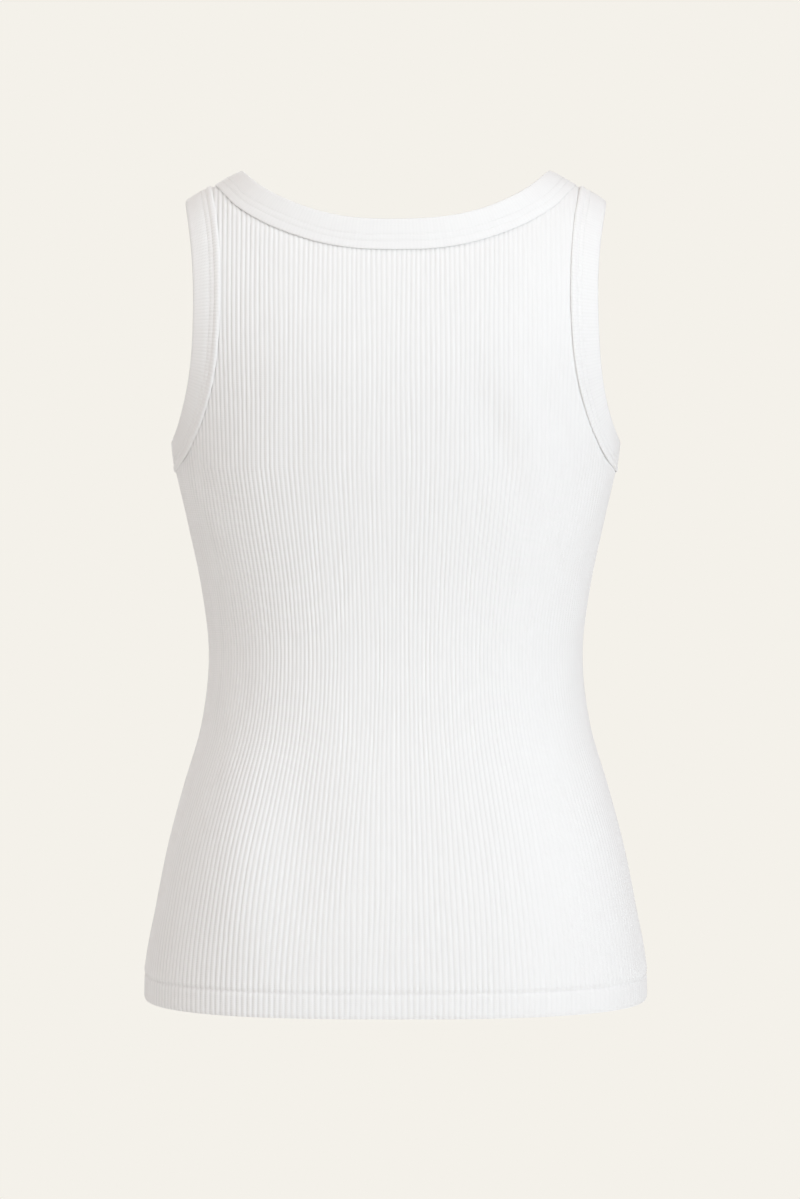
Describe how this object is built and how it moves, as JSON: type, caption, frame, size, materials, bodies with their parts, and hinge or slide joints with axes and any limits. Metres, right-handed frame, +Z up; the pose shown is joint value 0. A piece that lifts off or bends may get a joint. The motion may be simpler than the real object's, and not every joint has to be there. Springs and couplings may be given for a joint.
{
  "type": "ribbed tank top, filled out as worn",
  "caption": "Sleeveless fitted top in vertical rib knit with a scoop neck, banded neckline and armholes and a turned-up hem, hollow as worn.",
  "frame": {"origin": "midway between the tops of the two shoulders, where a wearer or a bust holds the garment up", "axes": "+Z up, +X to the wearer's left, +Y out of the back; the front faces -Y"},
  "size_m": [0.356, 0.2305, 0.5904],
  "materials": {
    "rib_knit": "matte white cotton rib knit",
    "band_knit": "matte white cotton band, folded and topstitched"
  },
  "bodies": {
    "root": {"back_panel": "rib_knit", "front_panel": "rib_knit", "neck_band": "band_knit", "arm_band_left": "band_knit", "arm_band_right": "band_knit"}
  },
  "joints": []
}
